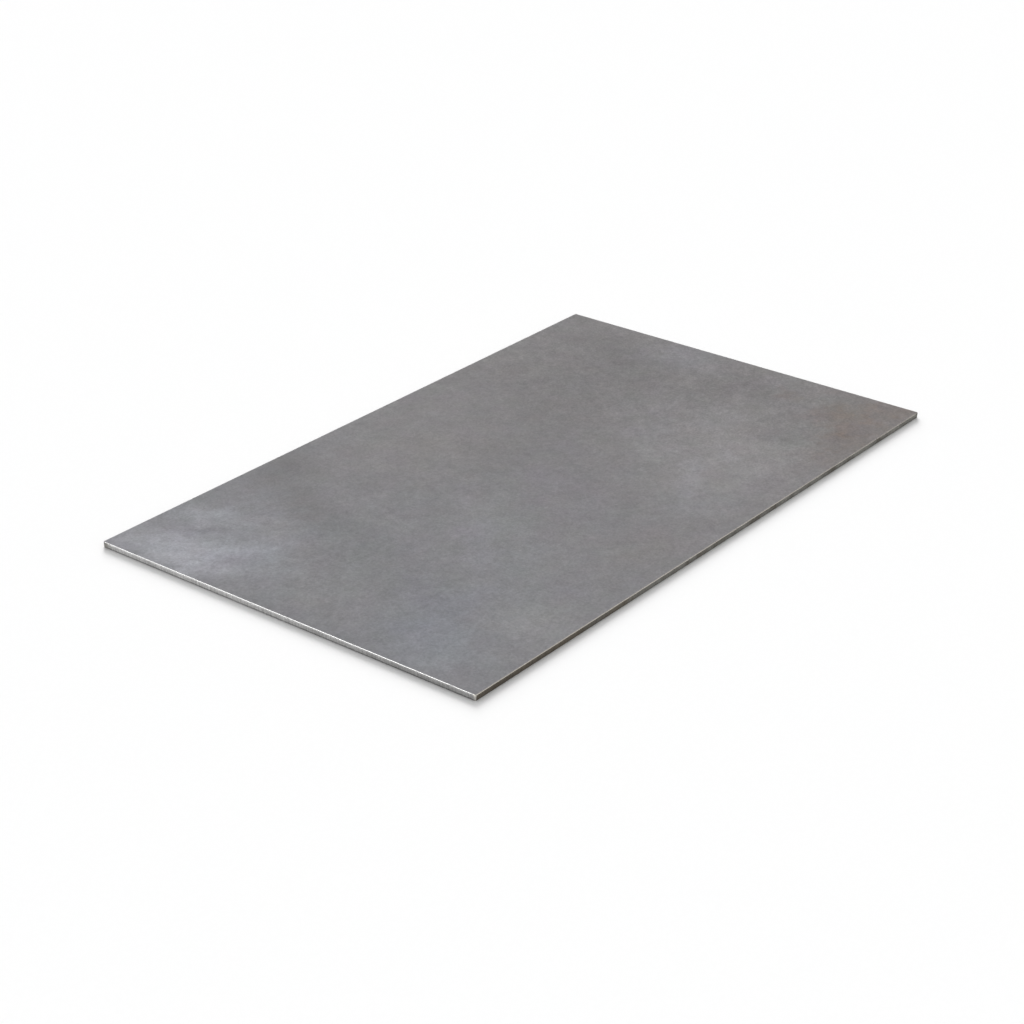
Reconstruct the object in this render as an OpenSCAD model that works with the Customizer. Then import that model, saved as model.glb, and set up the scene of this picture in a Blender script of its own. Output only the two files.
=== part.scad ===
// Flat steel plate, cut to size from rolled stock, with its arrises and corners eased by deburring.
//
// The plate lies flat. X runs along its length, Y across its width and Z up through its thickness,
// and the origin is the centre of the underside. All sizes are in millimetres.

/* [Plate] */
// Length of the plate, along X
plate_length = 500; // [50:1:2000]
// Width of the plate, along Y
plate_width = 300; // [50:1:1500]
// Thickness of the plate, along Z
plate_thickness = 4; // [3:0.5:20]

/* [Cut edges] */
// Radius of the four upright corners, seen from above
corner_radius = 1; // [0.2:0.1:20]
// Radius that the arris round the top face is eased to
top_arris_radius = 0.5; // [0.1:0.05:1.4]
// Radius that the arris round the underside is eased to
bottom_arris_radius = 0.4; // [0.1:0.05:1.4]

/* [Hidden] */
$fn = 64;

steel_grey = [0.51, 0.51, 0.52];

// The rim is the outermost band of the plate, as wide as a corner is round.
core_length = plate_length - 2 * corner_radius;
core_width = plate_width - 2 * corner_radius;

// An arris can't be eased past the corner that it runs round.
top_ease = min(top_arris_radius, corner_radius);
bottom_ease = min(bottom_arris_radius, corner_radius);

// Each corner of the core: which way it lies along X and Y, and the turn that faces its rim outwards
CORNERS = [
    [1, 1, 0],
    [-1, 1, 90],
    [-1, -1, 180],
    [1, -1, 270]
];

// What easing takes off a square arris. The arris is at the origin, and its metal lies towards -X and -Y.
module arris_waste(radius) {
    translate([-radius, -radius])
        difference() {
            square(2 * radius);
            circle(radius);
        }
}

// Section through the rim, from the core at x = 0 out to the cut face
module rim_section() {
    difference() {
        square([corner_radius, plate_thickness]);
        translate([corner_radius, plate_thickness])
            arris_waste(top_ease);
        translate([corner_radius, 0])
            mirror([0, 1])
                arris_waste(bottom_ease);
    }
}

// A straight stretch of rim that long, with its cut face towards +X
module rim_side(run) {
    rotate([90, 0, 0])
        linear_extrude(height = run, center = true)
            rim_section();
}

// The quarter turn of rim round one corner, between +X and +Y
module rim_corner() {
    rotate_extrude(angle = 90)
        rim_section();
}

// The whole plate, which is one piece of steel
module plate() {
    color(steel_grey)
        union() {
            translate([-core_length / 2, -core_width / 2, 0])
                cube([core_length, core_width, plate_thickness]);
            for (turn = [0, 180]) {
                rotate(turn)
                    translate([core_length / 2, 0, 0])
                        rim_side(core_width);
                rotate(turn + 90)
                    translate([core_width / 2, 0, 0])
                        rim_side(core_length);
            }
            for (corner = CORNERS)
                translate([corner[0] * core_length / 2, corner[1] * core_width / 2, 0])
                    rotate(corner[2])
                        rim_corner();
        }
}

plate();
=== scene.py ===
"""Hot-rolled steel plate, cut to size, with eased arrises. Every length is in metres.

The plate lies flat: X runs along its length, Y across its width and Z up through its thickness.
"""

import math

import bmesh
import bpy
from mathutils import Matrix, Vector, noise


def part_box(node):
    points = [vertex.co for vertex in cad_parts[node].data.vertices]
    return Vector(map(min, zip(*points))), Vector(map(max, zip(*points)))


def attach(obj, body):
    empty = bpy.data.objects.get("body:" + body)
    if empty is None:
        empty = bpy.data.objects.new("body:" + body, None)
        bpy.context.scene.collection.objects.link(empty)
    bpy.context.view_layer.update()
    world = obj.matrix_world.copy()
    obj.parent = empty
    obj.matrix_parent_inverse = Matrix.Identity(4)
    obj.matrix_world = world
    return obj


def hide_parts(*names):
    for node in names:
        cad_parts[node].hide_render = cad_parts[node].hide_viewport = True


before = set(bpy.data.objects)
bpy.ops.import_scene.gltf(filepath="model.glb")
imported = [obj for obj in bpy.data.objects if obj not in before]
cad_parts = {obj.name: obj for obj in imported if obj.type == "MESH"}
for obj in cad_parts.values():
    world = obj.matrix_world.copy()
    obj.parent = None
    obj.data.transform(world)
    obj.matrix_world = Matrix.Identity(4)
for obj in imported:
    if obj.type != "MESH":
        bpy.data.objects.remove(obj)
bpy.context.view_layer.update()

bl_info = {
    "name": "Steel Plate",
    "version": (1, 0, 0),
    "blender": (4, 5, 0),
    "location": "3D View > Sidebar > Steel Plate",
    "description": "Makes a rolled steel plate with sheared and gas-cut edges, and a studio to show it in",
    "category": "Object",
}

MM = 0.001
PLATE_NODE = "plate"
PLATE_LOW, PLATE_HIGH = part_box(PLATE_NODE)


# ---------------------------------------------------------------- settings


class PlateSize(bpy.types.PropertyGroup):
    """How large the plate is, and how its edges are worked"""

    length: bpy.props.FloatProperty(
        name="Length",
        description="Length of the plate, along X",
        default=PLATE_HIGH.x - PLATE_LOW.x,
        unit="LENGTH",
    )
    width: bpy.props.FloatProperty(
        name="Width",
        description="Width of the plate, along Y",
        default=PLATE_HIGH.y - PLATE_LOW.y,
        unit="LENGTH",
    )
    thickness: bpy.props.FloatProperty(
        name="Thickness",
        description="Thickness of the plate, along Z",
        default=PLATE_HIGH.z - PLATE_LOW.z,
        unit="LENGTH",
        precision=4,
    )
    corner_radius: bpy.props.FloatProperty(
        name="Corner radius",
        description="Radius of the upright corners",
        default=1.0 * MM,
        unit="LENGTH",
        precision=4,
    )
    blunt_radius: bpy.props.FloatProperty(
        name="Blunt corner radius",
        description="Radius of the back left corner, which handling has blunted",
        default=1.3 * MM,
        unit="LENGTH",
        precision=4,
    )
    top_arris: bpy.props.FloatProperty(
        name="Top arris",
        description="Radius that the arris round the top face is eased to",
        default=0.5 * MM,
        unit="LENGTH",
        precision=4,
    )
    bottom_arris: bpy.props.FloatProperty(
        name="Bottom arris",
        description="Radius that the arris round the underside is eased to",
        default=0.4 * MM,
        unit="LENGTH",
        precision=4,
    )


class PlateFinish(bpy.types.PropertyGroup):
    """The colours of the steel, and how rough each surface is"""

    scale_cool: bpy.props.FloatVectorProperty(
        name="Cool scale",
        description="Bluish tone of the rolled face, towards the left end",
        subtype="COLOR",
        size=3,
        min=0.0,
        max=1.0,
        default=(0.429, 0.426, 0.4455),
    )
    scale_warm: bpy.props.FloatVectorProperty(
        name="Warm scale",
        description="Brownish tone of the rolled face, towards the right end",
        subtype="COLOR",
        size=3,
        min=0.0,
        max=1.0,
        default=(0.427, 0.411, 0.416),
    )
    bare_steel: bpy.props.FloatVectorProperty(
        name="Bare steel",
        description="Colour of steel that was cut or rubbed bright",
        subtype="COLOR",
        size=3,
        min=0.0,
        max=1.0,
        default=(0.715, 0.71, 0.705),
    )
    # Rubbed steel that also stands as a painted glint, at the front and back right corners
    rubbed_corner_glint: bpy.props.FloatVectorProperty(
        name="Rubbed corner and glint",
        description="Faintly straw-coloured steel at the two corners that are rubbed bright",
        subtype="COLOR",
        size=3,
        min=0.0,
        max=1.0,
        default=(0.78, 0.75, 0.69),
    )
    # Also the colour of the painted shade at the left and right corners
    cut_oxide_and_shade: bpy.props.FloatVectorProperty(
        name="Cut oxide and corner shade",
        description="Dark oxide that gas cutting leaves on the long edges",
        subtype="COLOR",
        size=3,
        min=0.0,
        max=1.0,
        default=(0.232, 0.226, 0.205),
    )
    cut_rust: bpy.props.FloatVectorProperty(
        name="Cut rust",
        description="Brown that the oxide on the long edges turns to near the front corner and in specks",
        subtype="COLOR",
        size=3,
        min=0.0,
        max=1.0,
        default=(0.137, 0.119, 0.093),
    )
    rolled_roughness: bpy.props.FloatProperty(
        name="Rolled face roughness",
        description="Roughness of the rolled face, before its pattern varies it",
        min=0.0,
        max=1.0,
        default=0.46,
        subtype="FACTOR",
    )


class StudioStage(bpy.types.PropertyGroup):
    """The floor, the light and where the camera stands"""

    floor_colour: bpy.props.FloatVectorProperty(
        name="Floor",
        description="Colour of the floor",
        subtype="COLOR",
        size=3,
        min=0.0,
        max=1.0,
        default=(0.90, 0.90, 0.90),
    )
    sky_strength: bpy.props.FloatProperty(
        name="Sky",
        description="Brightness of the even white light from all round",
        min=0.0,
        default=0.52,
    )
    back_light: bpy.props.FloatProperty(
        name="Back light",
        description="Strength of the low lamp that throws the plate's shadow forwards",
        min=0.0,
        default=3.54,
    )
    top_light: bpy.props.FloatProperty(
        name="Top light",
        description="Strength of the wide, higher lamp that softens the shadow",
        min=0.0,
        default=0.825,
    )
    rim_light: bpy.props.FloatProperty(
        name="Rim light",
        description="Strength of the softbox that glints along the left arris",
        min=0.0,
        default=0.8,
    )
    front_light: bpy.props.FloatProperty(
        name="Front light",
        description="Strength of the softbox that glints on the front corner",
        min=0.0,
        default=0.5,
    )
    azimuth: bpy.props.FloatProperty(
        name="Azimuth",
        description="Turn of the camera round the plate, 0 looking along +Y",
        default=math.radians(-51.038),
        subtype="ANGLE",
    )
    elevation: bpy.props.FloatProperty(
        name="Elevation",
        description="Height of the camera above the horizon",
        default=math.radians(26.356),
        subtype="ANGLE",
    )
    distance: bpy.props.FloatProperty(
        name="Distance",
        description="Distance from the camera to the point that it looks at",
        default=1.5265,
        unit="LENGTH",
    )
    lens: bpy.props.FloatProperty(
        name="Lens",
        description="Focal length of the camera on a 36 mm sensor, in millimetres",
        default=82.76,
    )
    shift: bpy.props.FloatProperty(
        name="Shift",
        description="How far the lens is shifted sideways, as a share of the sensor's width",
        default=0.0511,
    )
    aim: bpy.props.FloatVectorProperty(
        name="Aim",
        description="The point that the camera looks at before the lens is shifted",
        subtype="TRANSLATION",
        size=3,
        default=(-0.0703, 0.0067, 0.0),
        unit="LENGTH",
    )


# ---------------------------------------------------------------- node helpers


class NodeMaker:
    """Adds nodes to one tree. An input that is given a socket is linked, and any other value is set."""

    def __init__(self, tree):
        self.tree = tree

    def add(self, kind, inputs=None, **settings):
        """A node of that kind. Its settings come first, since they decide which inputs it has."""
        node = self.tree.nodes.new(kind)
        for name, value in settings.items():
            setattr(node, name, value)
        for key, value in (inputs or {}).items():
            if isinstance(value, bpy.types.NodeSocket):
                self.tree.links.new(value, node.inputs[key])
            else:
                node.inputs[key].default_value = value
        return node

    def math(self, operation, first, second):
        return self.add("ShaderNodeMath", {0: first, 1: second}, operation=operation).outputs["Value"]

    def vector(self, operation, first, second=(0.0, 0.0, 0.0)):
        node = self.add("ShaderNodeVectorMath", {0: first, 1: second}, operation=operation)
        return node.outputs["Value" if operation == "LENGTH" else "Vector"]

    def noise(self, place, scale, detail=2.0, roughness=0.5, output="Fac"):
        inputs = {"Vector": place, "Scale": scale, "Detail": detail, "Roughness": roughness}
        return self.add("ShaderNodeTexNoise", inputs).outputs[output]

    def ramp(self, value, start, end, low=0.0, high=1.0, smooth=True):
        """Low where the value is at start or before it, high where it is at end or past it."""
        inputs = {"Value": value, "From Min": start, "From Max": end, "To Min": low, "To Max": high}
        kind = "SMOOTHSTEP" if smooth else "LINEAR"
        return self.add("ShaderNodeMapRange", inputs, interpolation_type=kind).outputs["Result"]

    def mix(self, share, first, second, blend="MIX"):
        node = self.add("ShaderNodeMix", data_type="RGBA", blend_type=blend)
        for name, value in {"Factor_Float": share, "A_Color": first, "B_Color": second}.items():
            socket = next(s for s in node.inputs if s.identifier == name)
            if isinstance(value, bpy.types.NodeSocket):
                self.tree.links.new(value, socket)
            elif name == "Factor_Float":
                socket.default_value = value
            else:
                socket.default_value = (*value[:3], 1.0)
        return next(s for s in node.outputs if s.identifier == "Result_Color")

    def scaled(self, colour, by):
        """The colour, times a value that changes over the surface."""
        node = self.add("ShaderNodeVectorMath", {0: colour, "Scale": by}, operation="SCALE")
        return node.outputs["Vector"]

    def stretched(self, place, along):
        """The place, drawn out by a different share along each axis."""
        node = self.add("ShaderNodeMapping", {"Vector": place, "Scale": along})
        return node.outputs["Vector"]

    def streaked(self, place, turn, length):
        """The place, drawn out along one level direction, so that a pattern there runs in streaks."""
        inputs = {"Vector": place, "Rotation": (0.0, 0.0, turn), "Scale": (length, 1.0, 1.0)}
        return self.add("ShaderNodeMapping", inputs, vector_type="TEXTURE").outputs["Vector"]

    def parts(self, place):
        """The X, Y and Z of a place."""
        return self.add("ShaderNodeSeparateXYZ", {"Vector": place}).outputs

    def between(self, pattern, low, high):
        """Low in the hollows of a noise and high on its crests: a noise seldom leaves 0.3 to 0.7."""
        return self.ramp(pattern, 0.3, 0.7, low, high)

    def swing(self, pattern, amount):
        """How far a noise is from its middle, times an amount that may change over the surface."""
        return self.math("MULTIPLY", self.math("SUBTRACT", pattern, 0.5), amount)

    def product(self, first, *others):
        for value in others:
            first = self.math("MULTIPLY", first, value)
        return first

    def group(self, tree, inputs):
        return self.add("ShaderNodeGroup", inputs, node_tree=tree).outputs


def new_group(name, inputs, outputs):
    """An empty shader group, its maker, its input sockets by name, and its output node.

    inputs and outputs are lists of (name, kind)."""
    tree = bpy.data.node_groups.new(name, "ShaderNodeTree")
    for side, sockets in (("INPUT", inputs), ("OUTPUT", outputs)):
        for label, kind in sockets:
            tree.interface.new_socket(name=label, in_out=side, socket_type="NodeSocket" + kind)
    made = NodeMaker(tree)
    entry = made.add("NodeGroupInput")
    leave = made.add("NodeGroupOutput")
    return tree, made, entry.outputs, leave


# ---------------------------------------------------------------- shared effects


COARSE_SHARE = 0.32  # of the grain, the rest being fine


def steel_grain_group():
    """Fine grain of steel: a tone round 1, a roughness round 0, and a height round 0."""
    tree, made, given, leave = new_group(
        "steel_grain",
        [("Place", "Vector"), ("Depth", "Float")],
        [("Tone", "Float"), ("Roughness", "Float"), ("Height", "Float")],
    )
    coarse = made.noise(given["Place"], 190.0, detail=2.0, roughness=0.6)
    fine = made.noise(given["Place"], 650.0, detail=3.0, roughness=0.65)
    coarse = made.math("MULTIPLY", coarse, COARSE_SHARE)
    fine = made.math("MULTIPLY", fine, 1.0 - COARSE_SHARE)
    uneven = made.swing(made.math("ADD", coarse, fine), given["Depth"])
    made.tree.links.new(made.math("ADD", uneven, 1.0), leave.inputs["Tone"])
    made.tree.links.new(uneven, leave.inputs["Roughness"])
    made.tree.links.new(uneven, leave.inputs["Height"])
    return tree


def cloud_patch_group():
    """One soft-edged cloud: 1 in its middle, fading to 0 at its reach."""
    tree, made, given, leave = new_group(
        "cloud_patch",
        [("Place", "Vector"), ("Centre", "Vector"), ("Reach", "Vector"), ("Turn", "Float")],
        [("Mask", "Float")],
    )
    off = made.vector("SUBTRACT", given["Place"], given["Centre"])
    inputs = {"Vector": off, "Angle": given["Turn"]}
    turned = made.add("ShaderNodeVectorRotate", inputs, rotation_type="Z_AXIS")
    share = made.vector("DIVIDE", turned.outputs["Vector"], given["Reach"])
    made.tree.links.new(made.ramp(made.vector("LENGTH", share), 1.0, 0.0), leave.inputs["Mask"])
    return tree


def edge_and_corner_mask_group():
    """Where the plate is worn along its outline, and where its corners are painted: 1 along its outline or
    at its corners, and fading raggedly inwards. Two corners take painted shade, and two are rubbed bright
    with a painted glint.
    """
    tree, made, given, leave = new_group(
        "edge_and_corner_mask",
        [("Place", "Vector"), ("Half Size", "Vector"), ("Reach", "Float")],
        [("Outline", "Float"), ("Corner", "Float")],
    )
    inside = made.vector("SUBTRACT", given["Half Size"], made.vector("ABSOLUTE", given["Place"]))
    parts = made.parts(inside)
    ragged = made.noise(given["Place"], 160.0, detail=3.0)
    reach = made.math("MULTIPLY", given["Reach"], made.math("MULTIPLY", ragged, 2.0))
    for name, operation in (("Outline", "MINIMUM"), ("Corner", "MAXIMUM")):
        share = made.math("DIVIDE", made.math(operation, parts["X"], parts["Y"]), reach)
        made.tree.links.new(made.ramp(share, 1.0, 0.0), leave.inputs[name])
    return tree


# ---------------------------------------------------------------- materials


def new_material(name):
    """A material with its maker, its Principled shader and the place on the surface, in metres."""
    material = bpy.data.materials.new(name)
    material.use_nodes = True
    tree = material.node_tree
    tree.nodes.clear()
    made = NodeMaker(tree)
    shader = made.add("ShaderNodeBsdfPrincipled")
    out = made.add("ShaderNodeOutputMaterial", {"Surface": shader.outputs["BSDF"]})
    out.is_active_output = True
    place = made.add("ShaderNodeTexCoord").outputs["Object"]
    return material, made, shader, place


def finish_shader(made, shader, colour, roughness, height, depth):
    """Feeds a surface's colour, roughness and relief to its shader. A height of 1 is the depth."""
    bump = made.add("ShaderNodeBump", {"Strength": 1.0, "Distance": depth, "Height": height})
    made.tree.links.new(colour, shader.inputs["Base Color"])
    made.tree.links.new(roughness, shader.inputs["Roughness"])
    made.tree.links.new(bump.outputs["Normal"], shader.inputs["Normal"])


# What a cloud does to the colour under it, before it is made lighter or darker
PLAIN = (1.0, 1.0, 1.0)
ICE = (0.99, 1.0, 1.015)
BLUE = (0.975, 0.995, 1.03)
GREEN = (0.99, 1.005, 1.0)
LILAC = (1.005, 0.995, 1.02)
UMBER = (1.012, 0.995, 0.98)
SAND = (1.005, 1.005, 0.985)
BROWN = (1.03, 0.985, 0.95)
RUST = (1.01, 0.955, 0.90)
STRAW = (0.95, 0.905, 0.83)

CLOUD_RAGGEDNESS = (50 * MM, 50 * MM, 0.0)  # how far noise pushes a cloud's outline about
PLAY_OF_COLOUR = (0.07, 0.10, 0.07)  # how far noise shifts red, green and blue
WISP_TURN = math.radians(-60)
WISP_STRENGTH = 0.45
MOTTLE_STRENGTH = 0.26
ROUGHNESS_SWING = 0.05

# How deep the smallest marks on each surface are
GRAIN_DEPTH = 0.02 * MM
SHEAR_LINE_DEPTH = 0.02 * MM
DRAG_LINE_DEPTH = 0.02 * MM
SCRATCH_DEPTH = 0.01 * MM

# How far in from the outline each surface is rubbed bright, how far from the two bright corners it is
# rubbed bright with a painted glint, and how far from the two dark corners it is darkened by painted shade
OUTLINE_REACH = 1.2 * MM
RUBBED_GLINT_REACH = 2.5 * MM
CORNER_SHADE_REACH = 9 * MM
ARRIS_CORNER_SHADE_REACH = 2 * MM

# How much of the wear and the painted glint shows there, and how metallic the painted corner shade leaves
# a surface
OUTLINE_SHARE = 0.25
RUBBED_GLINT_SHARE = 0.8
CORNER_SHADE_METALLIC = 0.15
QUARTER_BLEND = 10 * MM * MM  # X times Y at which one quarter of the plate has faded into the next

# Clouds on the rolled face: middle (x, y), reach along and across, turn, tint, and how much lighter it is.
# Lengths are in millimetres from the middle of the plate, and turns are in degrees.
CLOUDS = [
    ("haze at the left end", (-206, 94), (98, 90), 0, ICE, 0.18),
    ("bright left end", (-231, 109), (42, 84), 8, ICE, 0.34),
    ("its tail", (-200, 68), (54, 24), -15, ICE, 0.09),
    ("bright second lobe", (-182, 130), (56, 20), -70, ICE, 0.21),
    ("dull streak between them", (-199, 112), (44, 12), -66, LILAC, -0.09),
    ("dull back edge", (-98, 134), (42, 42), 0, UMBER, -0.12),
    ("dull band below it", (-130, 86), (30, 62), -20, UMBER, -0.11),
    ("dull strip at the left edge", (-253, 20), (16, 230), 0, PLAIN, -0.07),
    ("green-grey left", (-206, -6), (56, 50), 0, SAND, 0.03),
    ("dull green band", (-157, 18), (34, 95), -18, GREEN, -0.06),
    ("blue left front", (-202, -76), (80, 52), 15, BLUE, 0.01),
    ("blue left corner", (-228, -102), (50, 42), 15, ICE, 0.09),
    ("pale spot by the front edge", (-162, -128), (48, 44), 0, SAND, 0.13),
    ("slanting streak", (-100, -30), (110, 16), 40, LILAC, 0.06),
    ("slanting green streak", (-105, -68), (120, 32), 40, GREEN, 0.05),
    ("green middle", (-62, -25), (60, 44), 45, GREEN, 0.01),
    ("lilac middle", (0, -32), (88, 50), 45, LILAC, -0.02),
    ("warm front middle", (-48, -122), (80, 40), 0, UMBER, -0.02),
    ("blue spot before it", (24, -114), (38, 28), 0, ICE, 0.05),
    ("pale back middle", (-15, 105), (110, 50), 0, PLAIN, 0.03),
    ("warm back middle", (-25, 85), (90, 78), 0, UMBER, 0.0),
    ("pale back edge", (10, 150), (70, 16), 0, PLAIN, 0.05),
    ("dull back middle", (65, 35), (150, 60), 10, PLAIN, -0.06),
    ("dull back right", (150, 75), (120, 80), 10, PLAIN, -0.06),
    ("pale right front", (88, -90), (112, 72), 38, PLAIN, 0.14),
    ("its bright core", (48, -91), (40, 16), 20, ICE, 0.10),
    ("bright spot beside it", (78, -80), (26, 18), 0, ICE, 0.06),
    ("pale blue spot", (108, -84), (24, 14), 30, ICE, 0.06),
    ("pale green streak", (74, -38), (48, 14), 52, GREEN, 0.06),
    ("its far end", (112, -22), (62, 26), 30, ICE, 0.07),
    ("its near end", (118, -112), (62, 44), 0, PLAIN, 0.07),
    ("pale right", (152, -60), (56, 46), 20, PLAIN, 0.08),
    ("dull spot", (150, -98), (24, 18), 0, GREEN, -0.07),
    ("dull band at the right", (198, 56), (46, 116), -20, PLAIN, -0.09),
    ("dull spots at the right", (206, -22), (40, 32), 0, PLAIN, -0.13),
    ("dark scuff at the right", (226, -33), (20, 6), -8, PLAIN, -0.13),
    ("dark scuff beside it", (211, -44), (12, 7), 0, PLAIN, -0.10),
    ("pale right end", (226, 38), (52, 38), -60, BLUE, 0.10),
    ("rusty spot", (216, -63), (18, 15), 0, BROWN, -0.09),
    ("brown right corner", (202, -131), (114, 50), 14, BROWN, -0.10),
    ("brown patch", (186, -127), (28, 18), 20, BROWN, -0.05),
    ("brown patch beside it", (214, -102), (24, 15), 30, BROWN, -0.05),
    ("dark tip", (246, -142), (28, 24), 0, BROWN, -0.11),
]
WIPED_AREA = ((-205, 95), (115, 110), 0)
DAMP_AREA = ((208, -128), (125, 60), 16)


def patch_mask(made, cloud_patch, place, middle, reach, turn):
    """Where one cloud lies. Its middle and reach are in millimetres, and its turn is in degrees."""
    inputs = {
        "Place": place,
        "Centre": (middle[0] * MM, middle[1] * MM, 0.0),
        "Reach": (reach[0] * MM, reach[1] * MM, 1.0),
        "Turn": math.radians(-turn),
    }
    return made.group(cloud_patch, inputs)["Mask"]


def clouded(made, cloud_patch, place, colour):
    """The colour, with every cloud laid over it in turn."""
    for _name, middle, reach, turn, tint, lighter in CLOUDS:
        mask = patch_mask(made, cloud_patch, place, middle, reach, turn)
        change = [share * (1 + lighter) for share in tint]
        colour = made.mix(mask, colour, change, blend="MULTIPLY")
    return colour


def wiped(made, cloud_patch, place, spread, colour):
    """Wisps across the bright left end, where the rolls have wiped the scale."""
    wisp = made.noise(made.streaked(spread, WISP_TURN, 3.0), 75.0, detail=4.0, roughness=0.6)
    mask = patch_mask(made, cloud_patch, place, *WIPED_AREA)
    streak = made.swing(wisp, made.math("MULTIPLY", mask, WISP_STRENGTH))
    return made.scaled(colour, made.math("ADD", streak, 1.0))


def rusted(made, cloud_patch, place, spread, colour):
    """Rusty specks about the right corner, which has stood in the damp."""
    blotch = made.noise(spread, 85.0, detail=5.0, roughness=0.65)
    damp = patch_mask(made, cloud_patch, place, *DAMP_AREA)
    specks = made.math("MULTIPLY", made.ramp(blotch, 0.46, 0.66), damp)
    return made.mix(specks, colour, RUST, blend="MULTIPLY")


def half_size(size):
    """From the middle of the plate to its outline, for the outline and corner masks, which leave the
    thickness out.
    """
    return (size.length / 2, size.width / 2, 1.0)


def rolled_face_material(size, finish, grain, cloud_patch, edge_and_corner_mask):
    """Dull rolled face: thin scale, clouded by the mill, with a fine mottle and rubbed edges."""
    material, made, shader, place = new_material("rolled_face")
    # The noise on the two faces is drawn far apart, so that the underside has a mottle of its own.
    spread = made.stretched(place, (1.0, 1.0, 60.0))

    # Slow drift from the cool end to the warm end
    along = made.parts(place)["X"]
    drift = made.ramp(along, -0.45 * size.length, 0.35 * size.length)
    colour = made.mix(drift, finish.scale_cool, finish.scale_warm)

    # Clouds with ragged outlines, and a slight play of colour all over
    push = made.noise(spread, 40.0, detail=5.0, roughness=0.62, output="Color")
    centred = made.vector("SUBTRACT", push, (0.5, 0.5, 0.5))
    ragged = made.vector("ADD", place, made.vector("MULTIPLY", centred, CLOUD_RAGGEDNESS))
    colour = clouded(made, cloud_patch, ragged, colour)
    play = made.vector("MULTIPLY", centred, PLAY_OF_COLOUR)
    colour = made.vector("MULTIPLY", colour, made.vector("ADD", play, PLAIN))
    colour = wiped(made, cloud_patch, place, spread, colour)
    colour = rusted(made, cloud_patch, place, spread, colour)

    # Mottle, from hand-sized smudges down to the grain, and stronger towards the right end
    strong = made.ramp(along, 0.05 * size.length, 0.4 * size.length, 1.02, 1.42)
    smudge = made.noise(spread, 45.0, detail=6.0, roughness=0.65)
    mottle = made.swing(smudge, made.math("MULTIPLY", strong, MOTTLE_STRENGTH))
    colour = made.scaled(colour, made.math("ADD", mottle, 1.0))
    fine = made.group(grain, {"Place": spread, "Depth": strong})
    colour = made.scaled(colour, fine["Tone"])

    # Handling has rubbed the scale off along the outline
    inputs = {"Place": place, "Half Size": half_size(size), "Reach": OUTLINE_REACH}
    worn = made.group(edge_and_corner_mask, inputs)["Outline"]
    colour = made.mix(made.math("MULTIPLY", worn, OUTLINE_SHARE), colour, finish.bare_steel)

    least = finish.rolled_roughness - ROUGHNESS_SWING
    most = finish.rolled_roughness + ROUGHNESS_SWING
    dull = made.ramp(smudge, 0.2, 0.8, least, most, smooth=False)
    roughness = made.math("ADD", dull, made.math("MULTIPLY", fine["Roughness"], 0.4))
    shader.inputs["Metallic"].default_value = 1.0
    finish_shader(made, shader, colour, roughness, fine["Height"], GRAIN_DEPTH)
    return material


def dull_glancing_sheen(shader):
    """Oxide takes the sheen off a cut edge where it is looked along."""
    shader.inputs["Specular Tint"].default_value = (0.4, 0.4, 0.4, 1.0)
    shader.inputs["Specular IOR Level"].default_value = 0.1


def shade_and_rub_corners(made, shader, colour, place, size, finish, edge_and_corner_mask, shade_reach):
    """Two opposite corners are darkened by painted shade in the cut oxide's colour, and the other two are
    rubbed bright, with a painted glint.
    """
    # X times Y is below 0 in the quarters that hold the two corners with painted shade.
    parts = made.parts(place)
    quarter = made.math("MULTIPLY", parts["X"], parts["Y"])
    shaded_quarters = made.ramp(quarter, QUARTER_BLEND, -QUARTER_BLEND)
    inputs = {"Place": place, "Half Size": half_size(size)}
    rubbed_and_glint = made.group(edge_and_corner_mask, {**inputs, "Reach": RUBBED_GLINT_REACH})["Corner"]
    painted_corner_shade = made.group(edge_and_corner_mask, {**inputs, "Reach": shade_reach})["Corner"]
    # Painted glint, with the rubbing, at the two bright corners
    rubbed_glint_share = made.math("MULTIPLY", rubbed_and_glint, made.ramp(shaded_quarters, 0.0, 1.0, RUBBED_GLINT_SHARE, 0.0, smooth=False))
    colour = made.mix(rubbed_glint_share, colour, finish.rubbed_corner_glint)
    # Painted shade at the two dark corners: the cut oxide's colour, and less metallic
    dull = made.math("MULTIPLY", painted_corner_shade, shaded_quarters)
    made.tree.links.new(made.ramp(dull, 0.0, 1.0, 1.0, CORNER_SHADE_METALLIC), shader.inputs["Metallic"])
    return made.mix(dull, colour, finish.cut_oxide_and_shade)


def sheared_edge_material(size, finish, grain, edge_and_corner_mask):
    """Bright cut face: fine upright shear lines, darkened by painted shade towards the front corner,
    towards its foot and at the left corner, with a painted glint on the rubbed front corner.
    """
    material, made, shader, place = new_material("sheared_edge")
    parts = made.parts(place)
    lines = made.noise(made.stretched(place, (1.0, 1.0, 0.15)), 900.0, detail=3.0, roughness=0.65)
    patchy = made.noise(place, 90.0, detail=4.0, roughness=0.6)
    fine = made.group(grain, {"Place": place, "Depth": 0.5})
    # Painted shade: the face darkens towards the front corner
    painted_shade_along = made.ramp(parts["Y"], -0.45 * size.width, 0.25 * size.width, 0.67, 1.02)
    # Painted contact shadow: the face darkens towards its foot
    painted_foot_shadow = made.ramp(parts["Z"], 0.1 * size.thickness, 0.35 * size.thickness, 0.6, 1.0)
    lined = made.between(lines, 0.82, 1.12)
    mottled = made.between(patchy, 0.9, 1.08)
    tone = made.product(painted_shade_along, painted_foot_shadow, lined, mottled, fine["Tone"])
    colour = made.scaled(finish.bare_steel, tone)
    colour = shade_and_rub_corners(made, shader, colour, place, size, finish, edge_and_corner_mask, CORNER_SHADE_REACH)
    roughness = made.between(lines, 0.36, 0.26)
    dull_glancing_sheen(shader)
    finish_shader(made, shader, colour, roughness, lines, SHEAR_LINE_DEPTH)
    return material


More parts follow.
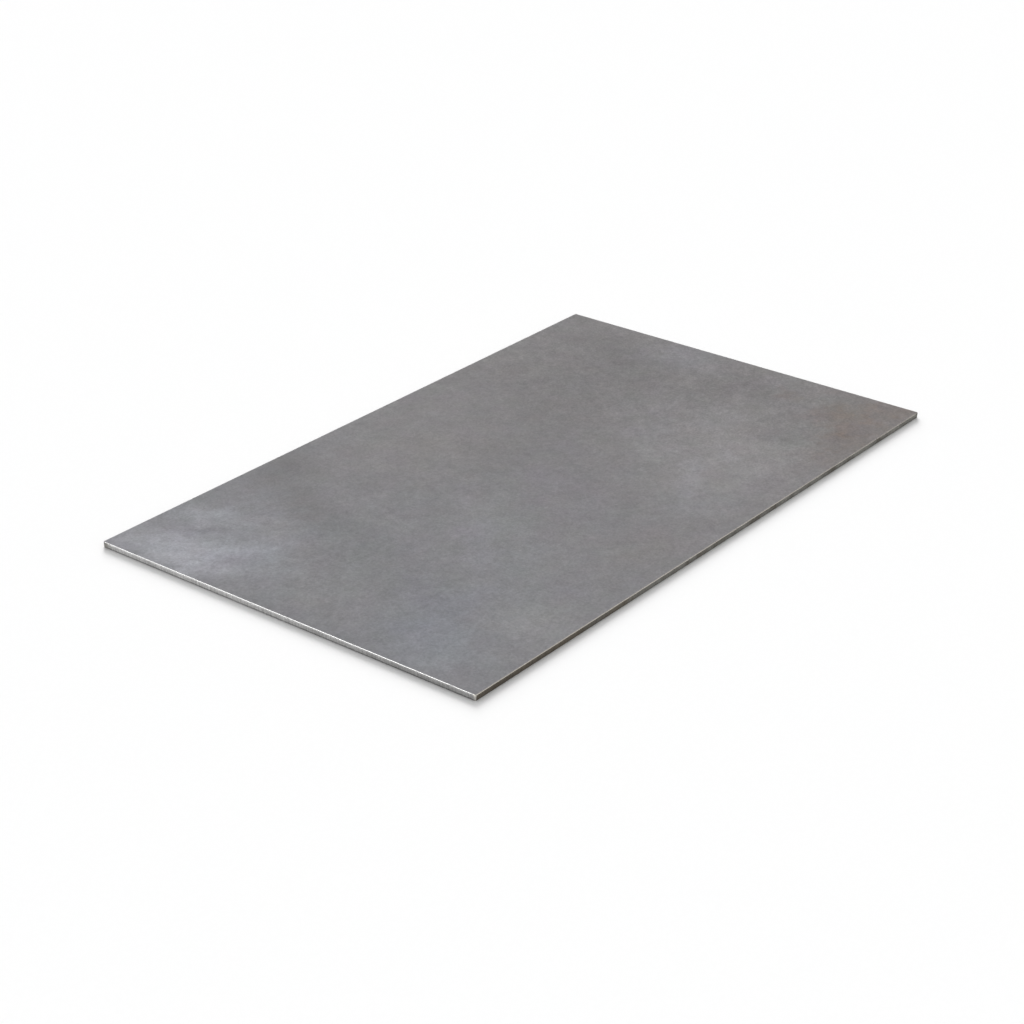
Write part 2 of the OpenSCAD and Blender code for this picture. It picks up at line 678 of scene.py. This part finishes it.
def gas_cut_edge_material(size, finish, grain):
    """Dark cut face: oxide over drag lines, browner near the front corner, with rusty specks, and darkened
    by painted shade at its right end.
    """
    material, made, shader, place = new_material("gas_cut_edge")
    along = made.parts(place)["X"]
    drag = made.noise(made.stretched(place, (1.0, 1.0, 0.2)), 800.0, detail=3.0, roughness=0.6)
    patchy = made.noise(place, 70.0, detail=4.0, roughness=0.6)
    fine = made.group(grain, {"Place": place, "Depth": 0.7})
    shifted = made.math("ADD", along, made.swing(patchy, 0.3))
    brown = made.ramp(shifted, -0.16 * size.length, -0.32 * size.length)
    colour = made.mix(brown, finish.cut_oxide_and_shade, finish.cut_rust)
    specks = made.math("MULTIPLY", made.ramp(patchy, 0.5, 0.68), 0.6)
    colour = made.mix(specks, colour, finish.cut_rust)
    lined = made.between(drag, 0.9, 1.1)
    mottled = made.ramp(patchy, 0.3, 0.6, 1.14, 0.92)
    # Painted shade: the face darkens at the right corner
    painted_right_end_shade = made.ramp(along, 0.485 * size.length, 0.5 * size.length, 1.0, 0.75)
    colour = made.scaled(colour, made.product(lined, mottled, painted_right_end_shade, fine["Tone"]))
    roughness = made.between(patchy, 0.5, 0.62)
    shader.inputs["Metallic"].default_value = 0.7
    finish_shader(made, shader, colour, roughness, drag, DRAG_LINE_DEPTH)
    return material


def bare_arris_material(size, finish, grain, edge_and_corner_mask):
    """Arris that a file has gone along: bright and faintly uneven, darkened by painted shade at its right
    end and at two corners, and rubbed bright with a painted glint at the other two. The front one has a
    film of rust.
    """
    material, made, shader, place = new_material("bare_arris")
    parts = made.parts(place)
    strokes = made.noise(place, 150.0, detail=4.0, roughness=0.65)
    fine = made.group(grain, {"Place": place, "Depth": 0.3})
    stroked = made.between(strokes, 0.97, 1.03)
    faded = made.ramp(parts["X"], -0.1 * size.length, 0.5 * size.length, 1.0, 0.82)
    # Painted shade: the arris darkens at the right corner
    painted_right_end_shade = made.ramp(parts["X"], 0.487 * size.length, 0.499 * size.length, 1.0, 0.55)
    tone = made.product(stroked, fine["Tone"], faded, painted_right_end_shade)
    colour = made.scaled(finish.bare_steel, tone)
    film = made.ramp(parts["Y"], 2 * MM - size.width / 2, 1 * MM - size.width / 2)
    colour = made.mix(film, colour, STRAW, blend="MULTIPLY")
    colour = shade_and_rub_corners(made, shader, colour, place, size, finish, edge_and_corner_mask, ARRIS_CORNER_SHADE_REACH)
    roughness = made.between(strokes, 0.30, 0.26)
    dull_glancing_sheen(shader)
    finish_shader(made, shader, colour, roughness, fine["Height"], SCRATCH_DEPTH)
    return material


# ---------------------------------------------------------------- the plate


CELL = 5 * MM  # about how far apart the grid lines on the two faces are
RIM_CUTS = 5  # how many cuts each cell's edge gets along the outline
LAND = 0.2 * MM  # flat strip between a face's grid and its arris
WALL_CUTS = 8  # how many times each cut face is divided between its two arrises
CORNER_SEGMENTS = 6
TOP_ARRIS_SEGMENTS = 5
BOTTOM_ARRIS_SEGMENTS = 4
LEVEL = 0.99  # a face's normal goes at least this far up or down where the face is level
UPRIGHT = 0.01  # and at most this far where it is upright
CLOSE = 0.01 * MM  # places that are nearer together than this are the same

# A face belongs to the rolled surface where it is this near it and this level.
ROLLED_WITHIN = 0.05 * MM
ROLLED_LEVEL = 0.97

# Fine relief, by its greatest depth
FACE_DIP = 0.03 * MM
SHEARED_WAVE = 0.03 * MM
BREAKAWAY_LINE = 0.56  # lowest height of the line that a sheared face breaks away below, by thickness
BREAKAWAY_WAVER = 0.14
BREAKAWAY_DEPTH = 0.06 * MM
BREAKAWAY_GRAIN = 0.03 * MM
BREAKAWAY_SLOPE = 0.5 * MM  # how much height the step down to the breakaway takes
GAS_CUT_WAVE = 0.06 * MM
DRAG_LINE_RELIEF = 0.05 * MM
ARRIS_WEAR = 0.05 * MM
ARRIS_NICK = 0.12 * MM
ARRIS_DROP = 0.04 * MM
NICK_FROM = 0.72  # how high its noise has to rise before a nick starts
NICK_FULL = 0.85
DRAG_LINE_RISE = 0.15  # how little height counts in the noise of drag lines, which run up the face

TURNED = 0.3  # a place on the rim faces left or forwards when its outward direction goes this far that way
LEFT_ARRIS_SHARE = 0.8  # of the arris at the left end is bare, and the rest looks like the cut face

ROLLED_FACE, SHEARED_EDGE, GAS_CUT_EDGE, BARE_ARRIS = range(4)


def is_level(face):
    return abs(face.normal.z) > LEVEL


def is_upright(face):
    return abs(face.normal.z) < UPRIGHT


def is_riser(edge):
    """Whether an edge runs up a cut face rather than along it."""
    a, b = (v.co for v in edge.verts)
    return abs(a.z - b.z) > 10 * (a - b).xy.length


def stands_at(edge, corner):
    """Whether an edge is the upright one at a corner of the square-edged slab."""
    return all((v.co.xy - corner).length < CLOSE for v in edge.verts)


def outline_edges(bm):
    """The edges where a level face meets an upright one."""
    return [
        e
        for e in bm.edges
        if len(e.link_faces) == 2
        and sum(is_level(f) for f in e.link_faces) == 1
        and sum(is_upright(f) for f in e.link_faces) == 1
    ]


def corner_radius_at(place, size):
    """The radius of the upright corner in the same quarter of the plate as a place."""
    return size.blunt_radius if place.x < 0 < place.y else size.corner_radius


def round_edges(bm, edges, radius, segments):
    bmesh.ops.bevel(
        bm,
        geom=edges,
        offset=radius,
        segments=segments,
        profile=0.5,
        affect="EDGES",
        material=-1,
    )


def plate_blank(size):
    """A square-edged slab with round corners, gridded all over, and finer along its outline."""
    bm = bmesh.new()
    columns, rows = round(size.length / CELL), round(size.width / CELL)
    bmesh.ops.create_grid(bm, x_segments=columns, y_segments=rows, size=0.5)
    bmesh.ops.scale(bm, vec=(size.length, size.width, 1.0), verts=bm.verts)
    bmesh.ops.translate(bm, vec=(0.0, 0.0, size.thickness), verts=bm.verts)
    bmesh.ops.solidify(bm, geom=bm.faces[:], thickness=size.thickness)
    bm.normal_update()

    for x in (-size.length / 2, size.length / 2):
        for y in (-size.width / 2, size.width / 2):
            corner = Vector((x, y))
            upright = [e for e in bm.edges if stands_at(e, corner)]
            round_edges(bm, upright, corner_radius_at(corner, size), CORNER_SEGMENTS)
    bm.normal_update()
    straight = [e for e in outline_edges(bm) if e.calc_length() > CELL / 2]
    bmesh.ops.subdivide_edges(bm, edges=straight, cuts=RIM_CUTS)
    return bm


def ease_arrises(bm, size):
    """Rounds the arris of each face, behind a narrow land that keeps the face's shading flat."""
    for top, radius, segments in (
        (True, size.top_arris, TOP_ARRIS_SEGMENTS),
        (False, size.bottom_arris, BOTTOM_ARRIS_SEGMENTS),
    ):
        bm.normal_update()
        level = [f for f in bm.faces if is_level(f) and (f.normal.z > 0) == top]
        bmesh.ops.inset_region(
            bm,
            faces=level,
            thickness=radius + LAND,
            use_boundary=True,
            use_even_offset=True,
        )
        bm.normal_update()
        arris = [e for e in outline_edges(bm) if (e.verts[0].co.z > size.thickness / 2) == top]
        round_edges(bm, arris, radius, segments)
    bm.normal_update()
    risers = [e for e in bm.edges if all(is_upright(f) for f in e.link_faces) and is_riser(e)]
    bmesh.ops.subdivide_edges(bm, edges=risers, cuts=WALL_CUTS, use_grid_fill=True)
    bm.normal_update()


def outward(place, size):
    """The level direction that the rim faces at a place on it."""
    radius = corner_radius_at(place, size)
    core = Vector((size.length / 2 - radius, size.width / 2 - radius))
    out = Vector(
        (
            place.x - max(-core.x, min(core.x, place.x)),
            place.y - max(-core.y, min(core.y, place.y)),
            0.0,
        )
    )
    return out.normalized()


def smoothstep(low, high, value):
    share = max(0.0, min(1.0, (value - low) / (high - low)))
    return share * share * (3 - 2 * share)


def unevenness(place, pitch, seed=0.0):
    """Smooth noise from 0 to 1, whose bumps are about a pitch apart."""
    return 0.5 + 0.5 * noise.noise(place / pitch + Vector((seed, seed, seed)))


def sheared_depth(place, size):
    """How far a sheared face lies behind a flat one: it breaks away below a wavering line."""
    waver = BREAKAWAY_WAVER * unevenness(place.xy.to_3d(), pitch=14 * MM)
    breakaway = (BREAKAWAY_LINE + waver) * size.thickness
    broken = smoothstep(breakaway, breakaway - BREAKAWAY_SLOPE, place.z)
    grain = BREAKAWAY_GRAIN * unevenness(place, pitch=1.3 * MM, seed=7.0)
    return broken * (BREAKAWAY_DEPTH + grain) + SHEARED_WAVE * unevenness(place, pitch=22 * MM)


def gas_cut_depth(place, size):
    """How far a gas-cut face lies behind a flat one: upright drag lines on a slow wave."""
    drag = Vector((place.x, place.y, place.z * DRAG_LINE_RISE))
    lines = DRAG_LINE_RELIEF * unevenness(drag, pitch=2.2 * MM, seed=3.0)
    return lines + GAS_CUT_WAVE * unevenness(place, pitch=30 * MM)


def face_move(place, size):
    """How a place on a rolled face dips into the plate."""
    dip = FACE_DIP * unevenness(place.xy.to_3d(), pitch=90 * MM, seed=place.z / MM)
    return Vector((0.0, 0.0, -dip if place.z > size.thickness / 2 else dip))


def is_sheared(out):
    """Whether the rim is sheared, rather than gas-cut, where it faces in a direction."""
    return abs(out.x) > 0.2


def rim_move(place, out, size):
    """How a place on the rim lies in from the plain shape.

    The cut face has its relief. The top arris has wear and nicks instead, and drops a little."""
    depth = sheared_depth(place, size) if is_sheared(out) else gas_cut_depth(place, size)
    top = smoothstep(size.thickness - size.top_arris, size.thickness, place.z)
    nick = ARRIS_NICK * smoothstep(NICK_FROM, NICK_FULL, unevenness(place, pitch=5 * MM, seed=11.0))
    worn = ARRIS_WEAR * unevenness(place, pitch=9 * MM, seed=5.0) + nick
    down = top * ARRIS_DROP * unevenness(place.xy.to_3d(), pitch=12 * MM, seed=2.0)
    inwards = depth * (1 - top) + worn * (1 - abs(2 * top - 1))
    return -out * inwards - Vector((0.0, 0.0, down))


def shape_relief(bm, size):
    """Moves the rim and the faces inwards by the fine relief that rolling and cutting leave."""
    for vert in bm.verts:
        out = outward(vert.co, size)
        on_face = out.length == 0.0
        vert.co += face_move(vert.co, size) if on_face else rim_move(vert.co, out, size)
        vert.co.z = max(vert.co.z, 0.0)


def choose_materials(bm, size):
    """Gives each face its surface: rolled, sheared at the short ends, gas-cut along the sides, or bare."""
    for face in bm.faces:
        centre = face.calc_center_median()
        out = outward(centre, size)
        bare_share = LEFT_ARRIS_SHARE if out.x < -TURNED else 1.0
        below_surface = min(centre.z, size.thickness - centre.z)
        if below_surface < ROLLED_WITHIN and abs(face.normal.z) > ROLLED_LEVEL:
            face.material_index = ROLLED_FACE
        elif centre.z > size.thickness - size.top_arris * bare_share:
            filed = min(out.x, out.y) < -TURNED
            face.material_index = BARE_ARRIS if filed else ROLLED_FACE
        else:
            face.material_index = SHEARED_EDGE if is_sheared(out) else GAS_CUT_EDGE
        face.smooth = True


def mesh_from(bm, name):
    """A mesh of that name from a bmesh, which is then freed."""
    mesh = bpy.data.meshes.new(name)
    bm.to_mesh(mesh)
    bm.free()
    return mesh


def replace_object(name, data):
    """A new object of that name, in place of any older one."""
    old = bpy.data.objects.get(name)
    if old:
        bpy.data.objects.remove(old)
    made = bpy.data.objects.new(name, data)
    bpy.context.scene.collection.objects.link(made)
    return made


class STEELPLATE_OT_plate(bpy.types.Operator):
    """Makes the steel plate, with its rolled faces, cut edges and eased arrises"""

    bl_idname = "steel_plate.plate"
    bl_label = "Steel plate"

    def execute(self, context):
        size = context.scene.steel_plate_size
        finish = context.scene.steel_plate_finish
        bm = plate_blank(size)
        ease_arrises(bm, size)
        shape_relief(bm, size)
        bm.normal_update()
        choose_materials(bm, size)
        mesh = mesh_from(bm, "steel_plate")

        grain = steel_grain_group()
        cloud_patch = cloud_patch_group()
        edge_and_corner_mask = edge_and_corner_mask_group()
        mesh.materials.append(rolled_face_material(size, finish, grain, cloud_patch, edge_and_corner_mask))
        mesh.materials.append(sheared_edge_material(size, finish, grain, edge_and_corner_mask))
        mesh.materials.append(gas_cut_edge_material(size, finish, grain))
        mesh.materials.append(bare_arris_material(size, finish, grain, edge_and_corner_mask))

        piece = replace_object("steel_plate", mesh)
        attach(piece, "root")
        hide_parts(PLATE_NODE)
        return {"FINISHED"}


# ---------------------------------------------------------------- the stage


FLOOR_REACH = 20.0
FLOOR_DROP = 0.01 * MM  # keeps the floor off the underside
FLOOR_TOOTH = 0.001 * MM
SENSOR_WIDTH = 36.0  # in millimetres


def make_floor(stage):
    bm = bmesh.new()
    bmesh.ops.create_grid(bm, x_segments=1, y_segments=1, size=FLOOR_REACH)
    bmesh.ops.translate(bm, vec=(0.0, 0.0, -FLOOR_DROP), verts=bm.verts)
    mesh = mesh_from(bm, "floor")
    material, made, shader, place = new_material("studio_floor")
    tooth = made.noise(place, 300.0, detail=3.0)
    colour = made.scaled(stage.floor_colour, made.between(tooth, 0.995, 1.0))
    shader.inputs["Specular IOR Level"].default_value = 0.0
    finish_shader(made, shader, colour, made.between(tooth, 0.9, 1.0), tooth, FLOOR_TOOTH)
    mesh.materials.append(material)
    replace_object("floor", mesh)


def direction(turn, rise):
    """Towards something that is so far round the plate from its front, and so far up from the floor."""
    return Vector((math.sin(turn) * math.cos(rise), -math.cos(turn) * math.cos(rise), math.sin(rise)))


def make_lamps(stage):
    """Distant, wide lamps: two that throw the shadow, and two softboxes that only show as glints."""
    # name, strength, turn, rise and width in degrees, and whether it is a softbox
    for name, strength, turn, rise, width, softbox in (
        ("back_light", stage.back_light, 133, 22, 28, False),
        ("top_light", stage.top_light, 130, 40, 60, False),
        ("rim_light", stage.rim_light, -142, 44.5, 30, True),
        ("front_light", stage.front_light, -33, 63, 30, True),
    ):
        light = bpy.data.lights.new(name, "SUN")
        light.energy = strength
        light.angle = math.radians(width)
        lamp = replace_object(name, light)
        towards = direction(math.radians(turn), math.radians(rise))
        lamp.matrix_world = towards.to_track_quat("Z", "Y").to_matrix().to_4x4()
        lamp.visible_diffuse = not softbox
        lamp.visible_glossy = softbox
        lamp.visible_camera = False


def make_sky(stage):
    """Even white light from all round, behind which the camera sees only white."""
    world = bpy.data.worlds.new("studio_white")
    world.use_nodes = True
    world.node_tree.nodes.clear()
    made = NodeMaker(world.node_tree)
    white = (1.0, 1.0, 1.0, 1.0)
    light = made.add("ShaderNodeBackground", {"Color": white, "Strength": stage.sky_strength})
    backdrop = made.add("ShaderNodeBackground", {"Color": white, "Strength": 1.0})
    seen = made.add("ShaderNodeLightPath").outputs["Is Camera Ray"]
    both = made.add("ShaderNodeMixShader", {0: seen, 1: light.outputs[0], 2: backdrop.outputs[0]})
    made.add("ShaderNodeOutputWorld", {"Surface": both.outputs[0]})
    bpy.context.scene.world = world


def make_camera(stage):
    data = bpy.data.cameras.new("camera")
    data.sensor_width = SENSOR_WIDTH
    data.lens = stage.lens
    data.shift_x = stage.shift
    data.clip_start = 0.01
    data.clip_end = 100.0
    camera = replace_object("camera", data)
    back = direction(stage.azimuth, stage.elevation)
    towards = (-back).to_track_quat("-Z", "Y")
    stands = Matrix.Translation(stage.aim + back * stage.distance)
    camera.matrix_world = stands @ towards.to_matrix().to_4x4()
    bpy.context.scene.camera = camera


class STEELPLATE_OT_stage(bpy.types.Operator):
    """Makes the pale floor, the studio light and the camera"""

    bl_idname = "steel_plate.stage"
    bl_label = "Studio stage"

    def execute(self, context):
        stage = context.scene.steel_plate_stage
        make_floor(stage)
        make_sky(stage)
        make_lamps(stage)
        make_camera(stage)
        context.scene.view_settings.view_transform = "Standard"
        return {"FINISHED"}


# ---------------------------------------------------------------- panel and registration


class STEELPLATE_PT_panel(bpy.types.Panel):
    """Lists what this add-on makes, and the sizes and colours that it reads"""

    bl_idname = "STEELPLATE_PT_panel"
    bl_label = "Steel Plate"
    bl_space_type = "VIEW_3D"
    bl_region_type = "UI"
    bl_category = "Steel Plate"

    def draw(self, context):
        layout = self.layout
        for operator, settings in (
            (STEELPLATE_OT_plate, context.scene.steel_plate_size),
            (None, context.scene.steel_plate_finish),
            (STEELPLATE_OT_stage, context.scene.steel_plate_stage),
        ):
            box = layout.box()
            for name in settings.__annotations__:
                box.prop(settings, name)
            if operator:
                box.operator(operator.bl_idname)


CLASSES = (
    PlateSize,
    PlateFinish,
    StudioStage,
    STEELPLATE_OT_plate,
    STEELPLATE_OT_stage,
    STEELPLATE_PT_panel,
)


def register():
    for cls in CLASSES:
        bpy.utils.register_class(cls)
    bpy.types.Scene.steel_plate_size = bpy.props.PointerProperty(type=PlateSize)
    bpy.types.Scene.steel_plate_finish = bpy.props.PointerProperty(type=PlateFinish)
    bpy.types.Scene.steel_plate_stage = bpy.props.PointerProperty(type=StudioStage)


def unregister():
    del bpy.types.Scene.steel_plate_stage
    del bpy.types.Scene.steel_plate_finish
    del bpy.types.Scene.steel_plate_size
    for cls in reversed(CLASSES):
        bpy.utils.unregister_class(cls)


def main():
    register()
    bpy.ops.steel_plate.stage()
    bpy.ops.steel_plate.plate()


if __name__ == "__main__":
    main()
